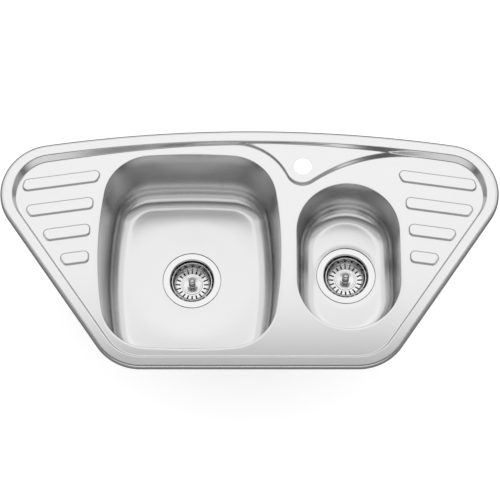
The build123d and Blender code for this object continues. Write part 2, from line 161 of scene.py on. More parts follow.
# %% [markdown]
# ## The tap ledge
# Behind the bowls the deck keeps a higher ledge for the tap. Its edge swings out in a swell round
# the tap hole and runs back into the rim on both sides. A free curve could follow it, but three
# arcs that touch each other are what the press tool is cut to, and they keep the step even.

# %% Edge of the sunk field
STEP_INSET = 24.9                    # from the outline to the middle of the rim step
TAP, TAP_HOLE_R = np.array([103.2, 168.1]), 17.5
SWELL, SWELL_R = np.array([101.9, 163.6]), 31.5
LEDGE_START_X, LEDGE_END_X = -34.3, 345.8

step_r = BACK_RADIUS - STEP_INSET


def ledge_arc(x):
    """Centre, radius, direction to the back step and direction to the swell of one ledge arc."""
    away = np.array([x / step_r, math.sqrt(1 - (x / step_r) ** 2)])
    touch = back_centre + away * step_r
    gap = touch - SWELL
    radius = (gap @ gap - SWELL_R ** 2) / (2 * away @ gap + 2 * SWELL_R)
    centre = touch - away * radius
    return centre, radius, angle(away), angle(SWELL - centre)


first, first_r, first_back, first_swell = ledge_arc(LEDGE_START_X)
last, last_r, last_back, last_swell = ledge_arc(LEDGE_END_X)
ledge = [arc(last, last_r, last_back, last_swell),
         arc(SWELL, SWELL_R, last_swell - 180, first_swell - 180),
         arc(first, first_r, first_swell, first_back)]
field = trace(right_flank(STEP_INSET)
              + [arc(back_centre, step_r, back_turn, last_back)] + ledge
              + [arc(back_centre, step_r, first_back, 180 - back_turn)] + left_flank(STEP_INSET))
rim_step = (parallel(outline, -STEP_INSET), outline[1])
print("ledge radii (mm):", round(first_r, 1), SWELL_R, round(last_r, 1))

# %% [markdown]
# ## Draining ribs
# Four raised ribs on each side keep dishes off the steel. They run parallel to the back edge and
# stop at a line parallel to the side edge, so each one is shorter than the one behind it. They
# could be drawn one by one, but one rule with a few sizes gives all eight.

# %% Sizes of the ribs, and polygons with rounded corners
RIB_INNER_X = (289.4, 301.0, 305.6, 306.5)      # inner ends, back rib first
RIB_INNER_LEAN = (0.55, 0.0, 0.0, 0.0)          # sideways run of the inner end per millimetre down
RIB_DATUM_X, RIB_TOP_Y = 300.0, 160.3
RIB_PITCH, RIB_PLAN, RIB_SLOPE = 54.7, 23.5, 0.143
RIB_END_INSET, RIB_CORNER = 39.5, 9.0


def unit(way):
    return way / np.hypot(*way)


def rounded(corners, radius):
    """A closed curve along a polygon with its corners rounded."""
    arcs = []
    for before, at, after in zip(corners[-1:] + corners[:-1], corners, corners[1:] + corners[:1]):
        into, away = unit(at - before), unit(after - at)
        turn = math.degrees(math.atan2(into[0] * away[1] - into[1] * away[0], into @ away))
        start = at - into * radius * math.tan(math.radians(turn) / 2)
        centre = start + radius * left_of(into)
        first = angle(start - centre)
        arcs.append(arc(centre, radius, first, first + turn))
    return trace(arcs)


print("ribs on each side:", len(RIB_INNER_X))

# %% Plan of the ribs


def rib_curve(index):
    inner_x, lean = RIB_INNER_X[index], RIB_INNER_LEAN[index] * RIB_PLAN / 2

    def edge(x, below):
        return RIB_TOP_Y - index * RIB_PITCH - below - RIB_SLOPE * (x - RIB_DATUM_X)

    def outer_x(below):
        level = edge(0, below)
        reach = side_reach - RIB_END_INSET
        if index > 0:
            return (reach - side_out[1] * level) / (side_out[0] - side_out[1] * RIB_SLOPE)
        rise = edge(corner_x + CORNER / 2, below) - back_corner[1]
        return corner_x + math.sqrt((CORNER - RIB_END_INSET) ** 2 - rise ** 2)

    ends = [(inner_x + lean, RIB_PLAN), (outer_x(RIB_PLAN), RIB_PLAN),
            (outer_x(0), 0), (inner_x - lean, 0)]
    return rounded([np.array([x, edge(x, below)]) for x, below in ends], RIB_CORNER)


def mirrored(curve):
    """The same curve on the other side of the sink, still counter-clockwise."""
    points, ways = curve
    return points[::-1] * MIRROR, ways[::-1] * MIRROR


right_ribs = [rib_curve(index) for index in range(len(RIB_INNER_X))]
ribs = right_ribs + [mirrored(rib) for rib in right_ribs]
print("rib lengths (mm):", [round(float(np.ptp(rib[0][:, 0])), 1) for rib in right_ribs])

# %% [markdown]
# ## Bowl mouths
# The main bowl is a rectangle with slightly bulging sides: four shallow arcs and four corner arcs
# that touch them. The half bowl is two half circles joined by straight sides. A rounded cube could
# stand for either, but only true arcs give the mouth the same even lip all the way round.

# %% Sizes of the bowls
MAIN = dict(node="main_bowl", cup="main_waste_cup", half=(174.5, 197.5), bulge=(770.0, 1150.0),
            corner=91.0, draft=16.0, foot=35.0, dish=3.0, dish_r=128.0)
HALF = dict(node="half_bowl", cup="half_waste_cup", half=(98.5, 147.0), bulge=None,
            corner=98.5, draft=10.0, foot=32.0, dish=1.0, dish_r=66.0)


def drain(bowl):
    """Middle of the waste, at the top of its flange."""
    low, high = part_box(bowl["cup"])
    return np.array([(low.x + high.x) / 2, (low.y + high.y) / 2, high.z]) / MM


for bowl in (MAIN, HALF):
    print(bowl["node"], "drain (mm):", drain(bowl).round(1))

# %% Plan of the mouths


def bulging_mouth(centre, half, corner, side_r, end_r):
    """Four shallow arcs and the four corner arcs that touch them."""
    side, end = np.array([half[0] - side_r, 0]), np.array([0, half[1] - end_r])
    near, far, reach = side_r - corner, end_r - corner, np.hypot(*(end - side))
    way = (end - side) / reach
    along = (near ** 2 - far ** 2 + reach ** 2) / (2 * reach)
    middle = side + way * along + left_of(way) * math.sqrt(near ** 2 - along ** 2)
    low, high = angle(middle - side), angle(middle - end)
    return trace([arc(centre + side, side_r, -low, low),
                  arc(centre + middle, corner, low, high),
                  arc(centre + end, end_r, high, 180 - high),
                  arc(centre + middle * MIRROR, corner, 180 - high, 180 - low),
                  arc(centre - side, side_r, 180 - low, 180 + low),
                  arc(centre - middle, corner, 180 + low, 180 + high),
                  arc(centre - end, end_r, 180 + high, 360 - high),
                  arc(centre - middle * MIRROR, corner, 360 - high, 360 - low)])


def mouth(bowl):
    centre = drain(bowl)[:2]
    half, corner = np.array(bowl["half"]), bowl["corner"]
    if bowl["bulge"]:
        return bulging_mouth(centre, half, corner, *bowl["bulge"])
    top = np.array([0, half[1] - corner])
    return trace([arc(centre + top, corner, 0, 180), arc(centre - top, corner, 180, 360)])


mouths = {bowl["node"]: mouth(bowl) for bowl in (MAIN, HALF)}
print("points round the mouths:", {name: len(curve[0]) for name, curve in mouths.items()})

# %% [markdown]
# ## The deck's height
# Every pressed form of the deck is a smooth step beside one of the plan curves. A step is two equal
# arcs joined by a straight lean, which is what a punch with rounded edges leaves in sheet metal.
# The height at any place is the rim's height less the steps passed on the way in. The forms could
# be sculpted, but a rule gives the slope too, and with it exact shading normals, so the flats stay
# dead flat and only the steps catch the light.

# %% One pressed step
STEP_WIDTH, STEP_RADIUS = 7.0, 3.0
CORNER_EASE = 6.5                    # the step spreads this much more in the two back corners
EASE_X, EASE_Y = (20.0, 400.0), (60.0, 150.0)
NUDGE = 0.01                         # for slopes, and for telling close points apart


def smooth(value, low, high):
    share = np.clip((value - low) / (high - low), 0, 1)
    return share * share * (3 - 2 * share)


def press(depth, width, drop, radius):
    """Share of a pressed step that is passed at each depth in from its first edge."""
    beside = np.clip(depth, 0, width)
    near = np.minimum(beside, width - beside)
    rise = drop / 2 - radius
    lean = np.arctan2(rise, width / 2) + np.arcsin(radius / np.hypot(width / 2, rise))
    arc_end = radius * np.sin(lean)
    on_arc = radius - np.sqrt(np.maximum(radius ** 2 - np.minimum(near, arc_end) ** 2, 0))
    share = (on_arc + np.maximum(near - arc_end, 0) * np.tan(lean)) / drop
    return np.where(beside > width / 2, 1 - share, share)


def steepness(depth, *step):
    return (press(depth + NUDGE, *step) - press(depth - NUDGE, *step)) / (2 * NUDGE)


def step_width(points):
    """Width of the rim step: it spreads towards the back corners."""
    ease = smooth(np.abs(points[:, 0]), *EASE_X) * smooth(points[:, 1], *EASE_Y)
    return STEP_WIDTH + CORNER_EASE * ease


print("rim step's width (mm):", step_width(rim_step[0]).min().round(1), "to",
      step_width(rim_step[0]).max().round(1))

# %% How deep a place lies inside a curve


def finder(curve):
    """Looks up how deep a place lies inside a curve, and the nearest of the curve's points."""
    tree = kdtree.KDTree(len(curve[0]))
    for number, (x, y) in enumerate(curve[0]):
        tree.insert((x, y, 0), number)
    tree.balance()

    def depth(places):
        nearest = np.array([tree.find((x, y, 0))[1] for x, y in places])
        out = curve[1][nearest]
        return -np.sum((places - curve[0][nearest]) * out, axis=1), out, nearest

    return depth


outline_depth, rim_depth, field_depth = finder(outline), finder(rim_step), finder(field)
rib_depths = [finder(rib) for rib in ribs]
print("from the tap's middle to the outline (mm):", outline_depth(np.array([TAP]))[0].round(1))

# %% Height and normal of the whole skin
RIM_Z, LEDGE_Z, FIELD_Z = 8.0, 3.0, -2.0
SHOULDER = 7.9                       # radius of the rolled outer edge
RIB_HEIGHT, RIB_STEP_WIDTH, RIB_STEP_RADIUS = 3.0, 4.2, 1.7


def deck_skin(places):
    """Height and upward normal of the deck's visible skin at places in plan."""
    height = np.full(len(places), RIM_Z)
    slope = np.zeros((len(places), 2))
    for depth_of, curve, drop in ((rim_depth, rim_step, RIM_Z - LEDGE_Z),
                                  (field_depth, field, LEDGE_Z - FIELD_Z)):
        depth, out, nearest = depth_of(places)
        step = (step_width(curve[0])[nearest], RIM_Z - FIELD_Z, STEP_RADIUS)
        height -= drop * press(depth + STEP_WIDTH / 2, *step)
        slope += drop * steepness(depth + STEP_WIDTH / 2, *step)[:, None] * out
    for depth_of in rib_depths:
        depth, out, _ = depth_of(places)
        step = (RIB_STEP_WIDTH, RIB_HEIGHT, RIB_STEP_RADIUS)
        height += RIB_HEIGHT * press(depth + RIB_STEP_WIDTH / 2, *step)
        slope -= RIB_HEIGHT * steepness(depth + RIB_STEP_WIDTH / 2, *step)[:, None] * out
    depth, out, _ = outline_depth(places)
    edge = SHOULDER - np.clip(depth, NUDGE / 10, SHOULDER)
    drop = np.sqrt(SHOULDER ** 2 - edge ** 2)
    height -= SHOULDER - drop
    slope -= (edge / drop)[:, None] * out
    height[depth < NUDGE] = 0
    normal = np.column_stack([-slope, np.ones(len(places))])
    return height, normal / np.linalg.norm(normal, axis=1)[:, None]


print("height at the tap (mm):", deck_skin(np.array([TAP]))[0].round(2))

# %% [markdown]
# ## The deck's mesh
# The deck is one stamped sheet, so its forms run into each other without a seam. A plain grid
# pushed to these heights would cut across the steps. Here parallel rings of points follow every
# step and a constrained Delaunay triangulation joins them, so edges run along the forms.

# %% Rings of points along every form
SHOULDER_RINGS, STEP_RINGS, RIB_RINGS = 9, 11, 7
BOWL_LIP, WELD_LAND = 1.6, 4.0

rings = []
for turn in np.radians(np.linspace(0, 90, SHOULDER_RINGS)):
    rings.append(parallel(outline, -SHOULDER * (1 - math.sin(turn))))
spread = step_width(rim_step[0])[:, None]
for share in np.linspace(0, 1, STEP_RINGS):
    rings.append(parallel(rim_step, STEP_WIDTH / 2 - share * spread))
for rib in ribs:
    for way in np.linspace(-RIB_STEP_WIDTH / 2, RIB_STEP_WIDTH / 2, RIB_RINGS):
        rings.append(parallel(rib, way))
holes = [(parallel(curve, BOWL_LIP + WELD_LAND), curve[1]) for curve in mouths.values()]
holes.append(trace([arc(TAP, TAP_HOLE_R, 0, 360)]))
rings += [points for points, _ in holes]
print("rings:", len(rings), "holes:", len(holes))

# %% The ledge's step, where it parts from the rim's


def open_runs(points, keep):
    """Stretches of a closed ring where keep is true."""
    runs = []
    for before in np.flatnonzero(~keep & np.roll(keep, -1)):
        order = (before + 1 + np.arange(len(keep))) % len(keep)
        stop = np.flatnonzero(~keep[order])[0]
        runs.append(points[order[:stop]])
    return runs


ledge_runs = []
field_spread = step_width(field[0])[:, None]
for share in np.linspace(0, 1, STEP_RINGS):
    ring = parallel(field, STEP_WIDTH / 2 - share * field_spread)
    depth, _, nearest = rim_depth(ring)
    ledge_runs += open_runs(ring, depth > spread[nearest, 0] - STEP_WIDTH / 2 + NUDGE)
print("runs along the ledge:", len(ledge_runs))

# %% Triangulate the plan


def add_line(places, edges, points, closed=True):
    """Adds points to a plan, with an edge between each two neighbours."""
    count, start = len(points), len(places)
    places += [Vector(point) for point in points]
    edges += [(start + i, start + (i + 1) % count) for i in range(count if closed else count - 1)]


def triangulate(places, edges):
    """Triangles that keep every edge, with their middles and twice their signed areas."""
    spots, _, triangles, _, _, _ = delaunay_2d_cdt(places, edges, [], 0, NUDGE / 10)
    spots, triangles = np.array([spot[:] for spot in spots]), np.array(triangles)
    corners = spots[triangles]
    first_side, second_side = corners[:, 1] - corners[:, 0], corners[:, 2] - corners[:, 0]
    areas = first_side[:, 0] * second_side[:, 1] - first_side[:, 1] * second_side[:, 0]
    return spots, triangles, corners.mean(axis=1), areas


def without_spares(spots, triangles):
    """Leaves out the points that no triangle uses."""
    used, numbers = np.unique(triangles, return_inverse=True)
    return spots[used], numbers.reshape(triangles.shape)


places, edges = [], []
for ring in rings:
    add_line(places, edges, ring)
for run in ledge_runs:
    add_line(places, edges, run, closed=False)
spots, triangles, middles, areas = triangulate(places, edges)
inside = outline_depth(middles)[0] > 0
for hole in holes:
    inside &= finder(hole)(middles)[0] < 0
triangles, downward = triangles[inside], areas[inside] < 0
triangles[downward] = triangles[downward][:, ::-1]
spots, triangles = without_spares(spots, triangles)
print("deck points:", len(spots), "triangles:", len(triangles))

# %% [markdown]
# ## The deck's thickness
# The steel is 0.9 mm thick, and its cut edge shows in the tap hole. A Solidify modifier could add
# the thickness, but it would lose the exact shading normals. So the skin is repeated a sheet's
# thickness below with its own normals turned round, and walls join the two along every open edge.

# %% Meshes from points, and a sheet with two skins
SHEET = 0.9


def new_object(name, data):
    """An object at the origin that is part of the scene."""
    made = bpy.data.objects.new(name, data)
    bpy.context.scene.collection.objects.link(made)
    return made


def mesh_object(name, points, faces):
    """A piece with its place in its mesh, smooth all over, from points in millimetres."""
    mesh = bpy.data.meshes.new(name)
    mesh.from_pydata(np.asarray(points) * MM, [], [list(map(int, face)) for face in faces])
    mesh.polygons.foreach_set("use_smooth", [True] * len(mesh.polygons))
    mesh.update()
    return new_object(name, mesh)


def set_normals(mesh, normals, count, triangles):
    """Gives both skins the rule's own normals, and every wall its face's."""
    shading = np.zeros((len(mesh.loops), 3))
    vertex = np.zeros(len(mesh.loops), int)
    mesh.loops.foreach_get("vertex_index", vertex)
    skin = 3 * triangles
    shading[:skin] = normals[vertex[:skin]]
    shading[skin:2 * skin] = -normals[vertex[skin:2 * skin] - count]
    for wall in mesh.polygons[2 * triangles:]:
        shading[wall.loop_start:wall.loop_start + wall.loop_total] = wall.normal
    mesh.normals_split_custom_set(shading.tolist())


def doubled_sheet(name, points, normals, faces):
    """A sheet: the skin, the same skin a thickness below it, and walls along every open edge."""
    count = len(points)
    layers = np.vstack([points, points - normals * SHEET])
    layers = np.clip(layers, np.array(deck_low) / MM, np.array(deck_high) / MM)
    ways = np.vstack([faces[:, [0, 1]], faces[:, [1, 2]], faces[:, [2, 0]]])
    _, index, uses = np.unique(np.sort(ways, axis=1), axis=0, return_index=True, return_counts=True)
    rims = ways[index[uses == 1]]
    walls = np.column_stack([rims[:, 0], rims[:, 0] + count, rims[:, 1] + count, rims[:, 1]])
    made = mesh_object(name, layers, list(faces) + list(faces[:, ::-1] + count) + list(walls))
    set_normals(made.data, normals, count, len(faces))
    return made


height, normal = deck_skin(spots)
deck = doubled_sheet("deck", np.column_stack([spots, height]), normal, triangles)
print("deck faces:", len(deck.data.polygons))
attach(deck, "sink")
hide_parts("sink_deck")
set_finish(deck, "deck_steel")

# %% [markdown]
# ## The bowls
# A bowl is the same closed curve again and again, drawn in and lowered along one profile: a
# rounded lip, a nearly upright wall, a generous foot and a floor that falls to the waste. It could
# be cut and filleted as a solid, but lofting rings from the profile keeps every quad even, which
# matters on metal that mirrors its own shape.

# %% Profile of a bowl
LIP_RINGS, WALL_RINGS, FOOT_RINGS, FLOOR_RINGS = 6, 5, 18, 12


def fillet(before, corner, after, radius, count):
    """Points of an arc that rounds a corner between two straight runs of a profile."""
    into, away = unit(corner - before), unit(after - corner)
    cross = into[0] * away[1] - into[1] * away[0]
    turn = math.atan2(cross, into @ away)
    start = corner - into * radius * math.tan(abs(turn) / 2)
    side = left_of(into) * math.copysign(1, turn)
    centre = start + side * radius
    spoke = start - centre
    points = []
    for share in np.linspace(0, turn, count):
        c, s = math.cos(share), math.sin(share)
        points.append(centre + (spoke[0] * c - spoke[1] * s, spoke[0] * s + spoke[1] * c))
    return points


def bowl_profile(bowl, floor_z):
    """(inset, height) from the welded land down to the edge of the floor."""
    land = np.array([-BOWL_LIP - WELD_LAND, FIELD_Z])
    lip, foot = np.array([0, FIELD_Z]), np.array([bowl["draft"], floor_z])
    floor = np.array([bowl["half"][0], floor_z])
    lip_arc = fillet(land, lip, foot, BOWL_LIP, LIP_RINGS)
    foot_arc = fillet(lip, foot, floor, bowl["foot"], FOOT_RINGS)
    wall = [lip_arc[-1] + share * (foot_arc[0] - lip_arc[-1])
            for share in np.linspace(0, 1, WALL_RINGS)[1:-1]]
    return [land] + lip_arc + wall + foot_arc


print("depths of the bowls (mm):", [round(FIELD_Z - drain(bowl)[2], 1) for bowl in (MAIN, HALF)])

# %% Rings of a bowl, from the weld to the waste hole
RECESS_R, RECESS_FOOT_R, RECESS_DEPTH, RECESS_ROUND = 58.2, 57.6, 2.0, 0.5
WASTE_HOLE_R = 45.5


def bowl_rings(bowl):
    x, y, drain_z = drain(bowl)
    floor_z = drain_z + bowl["dish"]
    flat = [(parallel(mouths[bowl["node"]], -inset), level)
            for inset, level in bowl_profile(bowl, floor_z)]
    floor_edge = flat[-1][0]
    spokes = floor_edge - (x, y)
    spokes /= np.hypot(*spokes.T)[:, None]
    for share in np.linspace(0, 1, FLOOR_RINGS)[1:]:
        flat.append(((1 - share) * floor_edge + share * (spokes * RECESS_R + (x, y)), floor_z))
    for radius, level in ((RECESS_R - RECESS_ROUND / 4, -RECESS_ROUND / 2),
                          (RECESS_FOOT_R, -RECESS_DEPTH), (WASTE_HOLE_R, -RECESS_DEPTH)):
        flat.append((spokes * radius + (x, y), floor_z + level))
    dished = []
    for ring, level in flat:
        away = np.hypot(*(ring - (x, y)).T)
        dish = bowl["dish"] * (1 - smooth(away, RECESS_R, bowl["dish_r"]))
        dished.append(np.column_stack([ring, level - dish]))
    return dished


print("rings in each bowl:", len(bowl_rings(MAIN)))

# %% Loft the bowls
CREASE = math.radians(30)


def settle(piece):
    """Makes the modifiers' result the piece's own mesh, with its sharper folds left crisp."""
    graph = bpy.context.evaluated_depsgraph_get()
    mesh = bpy.data.meshes.new_from_object(piece.evaluated_get(graph))
    mesh.set_sharp_from_angle(angle=CREASE)
    piece.modifiers.clear()
    piece.data = mesh


def make_bowl(bowl):
    rings = bowl_rings(bowl)
    around = len(rings[0])
    faces = [(row * around + i, row * around + (i + 1) % around,
              (row + 1) * around + (i + 1) % around, (row + 1) * around + i)
             for row in range(len(rings) - 1) for i in range(around)]
    made = mesh_object(bowl["node"].replace("bowl", "basin"), np.vstack(rings), faces)
    sheet = made.modifiers.new("sheet", "SOLIDIFY")
    sheet.thickness, sheet.offset, sheet.material_offset = SHEET * MM, -1, 1
    for _ in ("inside", "outside"):
        made.data.materials.append(None)
    settle(made)
    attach(made, "sink")
    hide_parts(bowl["node"])
    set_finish(made, "bowl_steel")
    return made


bowls = [make_bowl(bowl) for bowl in (MAIN, HALF)]
print("bowl faces:", [len(bowl.data.polygons) for bowl in bowls])

# %% [markdown]
# ## Strainer baskets
# Each basket is one cup of thin steel, punched with twenty radial slots in a single stroke, so all
# its petals are alike. A ring of slots could be cut by booleans, but that leaves long thin faces
# that spoil the mirror. So one petal-wide sector is meshed with its slot, and a Geometry Nodes tree
# turns copies of it round the drain and welds them into a whole.

# %% Profile of the basket
BASKET_SHEET, POST_R = 0.8, 3.0
GROOVE_R, GROOVE_WIDTH, GROOVE_DEPTH = 17.6, 1.4, 0.6      # pressed ring in the middle disc
CORNER_POINTS = 7
BASKET_CORNERS = (           # radius, height under the flange's top, rounding
    (40.2, -5.9, 0), (38.2, -4.5, 0.8), (36.2, -22.6, 8.0), (22.3, -24.8, 0.5), (21.0, -24.8, 0.5),
    (20.6, -23.2, 0.4), (16.0, -23.2, 4.0), (9.0, -24.2, 4.0), (POST_R, -24.2, 0))


def basket_profile():
    """(radius, height) from the rim in to the post."""
    corners = [np.array(corner[:2]) for corner in BASKET_CORNERS]
    points = [corners[0]]
    for before, at, after, (_, _, rounding) in zip(corners, corners[1:], corners[2:],
                                                   BASKET_CORNERS[1:]):
        points += fillet(before, at, after, rounding, CORNER_POINTS)
    return np.array(points + [corners[-1]])


def basket_height(radius, profile):
    groove = smooth(GROOVE_WIDTH / 2 - np.abs(radius - GROOVE_R), 0, GROOVE_WIDTH / 4)
    return np.interp(radius, profile[::-1, 0], profile[::-1, 1]) - GROOVE_DEPTH * groove


basket_line = basket_profile()
print("basket rim above its floor (mm):", round(float(np.ptp(basket_line[:, 1])), 1))

# %% Points and edges of one sector
SLOTS, SLOT_FROM, SLOT_TO, SLOT_WIDTH = 20, 23.1, 33.6, 3.0
ARC_COLUMNS, SLOT_ROWS, ROW_GAP = 7, 8, 0.02
GROOVE_SHARES = np.array([-0.5, -0.375, -0.25, 0.25, 0.375, 0.5])

slot_turn = SLOT_WIDTH / 2
slot = trace([arc((SLOT_TO - slot_turn, 0), slot_turn, -90, 90),
              arc((SLOT_FROM + slot_turn, 0), slot_turn, 90, 270)])
petal_turns = np.radians(np.linspace(-180 / SLOTS, 180 / SLOTS, ARC_COLUMNS))


def sector_grid():
    """Points on rays and arcs round the axis, and the edges between neighbours."""
    radii = np.unique(np.concatenate([basket_line[:, 0], GROOVE_R + GROOVE_WIDTH * GROOVE_SHARES,
                                      np.linspace(SLOT_FROM, SLOT_TO, SLOT_ROWS)]).round(4))
    radii = radii[np.insert(np.diff(radii) > ROW_GAP, 0, True)]
    places, edges, grid = [], [], {}
    for row, radius in enumerate(radii):
        for column, turn in enumerate(petal_turns):
            grid[row, column] = len(places)
            places.append(Vector((radius * np.cos(turn), radius * np.sin(turn))))
    for (row, column), point in grid.items():
        for other in ((row + 1, column), (row, column + 1)):
            if other in grid:
                edges.append((point, grid[other]))
    return places, edges


print("points in the sector's grid:", len(sector_grid()[0]))

# %% Mesh of one sector


def basket_sector():
    """Mesh points and triangles of one petal's width of basket, with a slot down its middle."""
    places, edges = sector_grid()
    add_line(places, edges, slot[0])
    spots, triangles, middles, areas = triangulate(places, edges)
    inner = POST_R * math.cos(petal_turns[1] - petal_turns[0])
    keep = (finder(slot)(middles)[0] < 0) & (abs(areas) > NUDGE ** 2)
    spots, triangles = without_spares(spots, triangles[keep & (np.hypot(*middles.T) > inner)])
    return np.column_stack([spots, basket_height(np.hypot(*spots.T), basket_line)]), triangles


sector_points, sector_triangles = basket_sector()
print("triangles in a sector:", len(sector_triangles))

# %% Helpers for node trees


def new_tree(name, inputs, output):
    """An empty Geometry Nodes tree with named inputs and one shape as its output."""
    tree = bpy.data.node_groups.new(name, "GeometryNodeTree")
    for socket, kind in inputs.items():
        tree.interface.new_socket(socket, in_out="INPUT", socket_type="NodeSocket" + kind)
    tree.interface.new_socket(output, in_out="OUTPUT", socket_type="NodeSocketGeometry")
    return tree


def add_nodes(tree, *kinds):
    return [tree.nodes.new(kind) for kind in kinds]


def wire(tree, *links):
    """Joins nodes. A link is a node and its output, then a node and its input."""
    for start, leaves, end, enters in links:
        tree.links.new(start.outputs[leaves], end.inputs[enters])


def grow(piece, tree, **values):
    """Hangs a tree on a piece. An input is set by its socket's identifier."""
    made = piece.modifiers.new(tree.name, "NODES")
    made.node_group = tree
    sockets = {item.name: item.identifier for item in tree.interface.items_tree
               if item.in_out == "INPUT"}
    for name, value in values.items():
        made[sockets[name.replace("_", " ")]] = value


# %% Geometry Nodes that turn the sector into a whole basket


def turned_tree():
    """Repeats a sector round an upright axis and welds the copies."""
    tree = new_tree("turned repeat", {"Sector": "Geometry", "Copies": "Int", "Axis Place": "Vector",
                                      "Weld Distance": "Float", "Finish": "Material"}, "Whole")
    enter, leave, points, number, step, turn, about, copies, whole, weld, finish = add_nodes(
        tree, "NodeGroupInput", "NodeGroupOutput", "GeometryNodePoints", "GeometryNodeInputIndex",
        "ShaderNodeMath", "ShaderNodeMath", "ShaderNodeCombineXYZ", "GeometryNodeInstanceOnPoints",
        "GeometryNodeRealizeInstances", "GeometryNodeMergeByDistance", "GeometryNodeSetMaterial")
    step.operation, turn.operation = "DIVIDE", "MULTIPLY"
    step.inputs[0].default_value = 2 * math.pi
    wire(tree, (enter, "Copies", points, "Count"), (enter, "Axis Place", points, "Position"),
         (enter, "Copies", step, 1), (number, "Index", turn, 0), (step, 0, turn, 1),
         (turn, 0, about, "Z"), (points, 0, copies, "Points"), (about, 0, copies, "Rotation"),
         (enter, "Sector", copies, "Instance"), (copies, 0, whole, 0), (whole, 0, weld, "Geometry"),
         (enter, "Weld Distance", weld, "Distance"), (weld, 0, finish, "Geometry"),
         (enter, "Finish", finish, "Material"), (finish, 0, leave, "Whole"))
    return tree


TURNED = turned_tree()
print("inputs:", [item.name for item in TURNED.interface.items_tree if item.in_out == "INPUT"])

# %% Both baskets
baskets = []
for bowl in (MAIN, HALF):
    side = bowl["node"].split("_")[0]
    basket = mesh_object(f"{side}_strainer_basket", sector_points, sector_triangles)
    grow(basket, TURNED, Copies=SLOTS, Weld_Distance=NUDGE * MM,
         Axis_Place=[float(value) * MM for value in drain(bowl)])
    sheet = basket.modifiers.new("sheet", "SOLIDIFY")
    sheet.thickness, sheet.offset = BASKET_SHEET * MM, -1
    settle(basket)
    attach(basket, f"{side}_strainer")
    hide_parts(f"{side}_basket")
    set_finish(basket, "polished_steel")
    baskets.append(basket)
print("basket faces:", [len(basket.data.polygons) for basket in baskets])

# %% [markdown]
# ## Screw threads
# The waste outlets end in a moulded pipe thread, and a fine thread runs along each clip screw. A
# screw modifier could sweep a thread too, but its two ends would hang open. Here Geometry Nodes
# sweep a small four-sided ridge along a spiral and cap its ends, and one tree with named sizes
# serves the coarse thread and the fine one. The shank is the solid's own mesh, drawn in to the
# root of the thread, so that the crests reach just as far out as the plain solid does.

# %% Geometry Nodes that wind a ridge round a shank
CREST_OUTWARD = math.radians(90)       # turns the ridge's top away from the axis


def wound_tree():
    """Adds a ridge that climbs round an upright shank."""
    tree = new_tree("wound ridge", {
        "Shank": "Geometry", "Foot Place": "Vector", "Middle Radius": "Float",
        "Ridge Height": "Float", "Crest Width": "Float", "Foot Width": "Float", "Length": "Float",
        "Turns": "Float", "Points Each Turn": "Int", "Finish": "Material"}, "Threaded")
    enter, leave, spiral, upright, section, outward, ridge, place, join, whole, finish = add_nodes(
        tree, "NodeGroupInput", "NodeGroupOutput", "GeometryNodeCurveSpiral",
        "GeometryNodeSetCurveNormal", "GeometryNodeCurvePrimitiveQuadrilateral",
        "GeometryNodeTransform", "GeometryNodeCurveToMesh", "GeometryNodeTransform",
        "GeometryNodeJoinGeometry", "GeometryNodeRealizeInstances", "GeometryNodeSetMaterial")
    upright.mode, section.mode = "Z_UP", "TRAPEZOID"
    section.inputs["Offset"].default_value = 0.0
    outward.inputs["Rotation"].default_value = (0.0, 0.0, CREST_OUTWARD)
    ridge.inputs["Fill Caps"].default_value = True
    wire(tree, (enter, "Points Each Turn", spiral, "Resolution"),
         (enter, "Length", spiral, "Height"), (enter, "Turns", spiral, "Rotations"),
         (enter, "Middle Radius", spiral, "Start Radius"),
         (enter, "Middle Radius", spiral, "End Radius"),
         (enter, "Ridge Height", section, "Height"), (enter, "Crest Width", section, "Top Width"),
         (enter, "Foot Width", section, "Bottom Width"),
         (enter, "Foot Place", place, "Translation"), (enter, "Shank", join, 0),
         (spiral, 0, upright, "Curve"), (upright, 0, ridge, "Curve"), (section, 0, outward, 0),
         (outward, 0, ridge, "Profile Curve"), (ridge, 0, place, 0), (place, 0, join, 0),
         (join, 0, whole, 0), (whole, 0, finish, "Geometry"),
         (enter, "Finish", finish, "Material"), (finish, 0, leave, "Threaded"))
    return tree


WOUND = wound_tree()
print("inputs:", [item.name for item in WOUND.interface.items_tree if item.in_out == "INPUT"])

# %% A node's mesh with its shank drawn in
ON_SHANK = 0.05           # a point this close to the crest radius belongs to the shank


def drawn_in(name, node, axis, low, high, crest, depth):
    """A copy of a node's mesh whose shank, between two levels, is smaller by a thread's depth."""
    piece = new_object(name, frame["nodes"][node].data.copy())
    shape = bmesh.new()
    shape.from_mesh(piece.data)
    bmesh.ops.remove_doubles(shape, verts=shape.verts, dist=NUDGE * MM)
    for vert in shape.verts:
        away = np.array(vert.co[:2]) / MM - axis
        reach = np.hypot(*away)
        on_level = low - ON_SHANK < vert.co.z / MM < high + ON_SHANK
        if abs(reach - crest) < ON_SHANK and on_level:
            vert.co.x, vert.co.y = (axis + away * (crest - depth) / reach) * MM
    shape.to_mesh(piece.data)
    shape.free()
    return piece


# %% Wind the thread
CREST_SHARE, FOOT_SHARE = 0.2, 0.9     # widths of the ridge's top and foot, as shares of the pitch
SUNK_SHARE = 0.15                      # part of the depth by which the ridge's foot is sunk


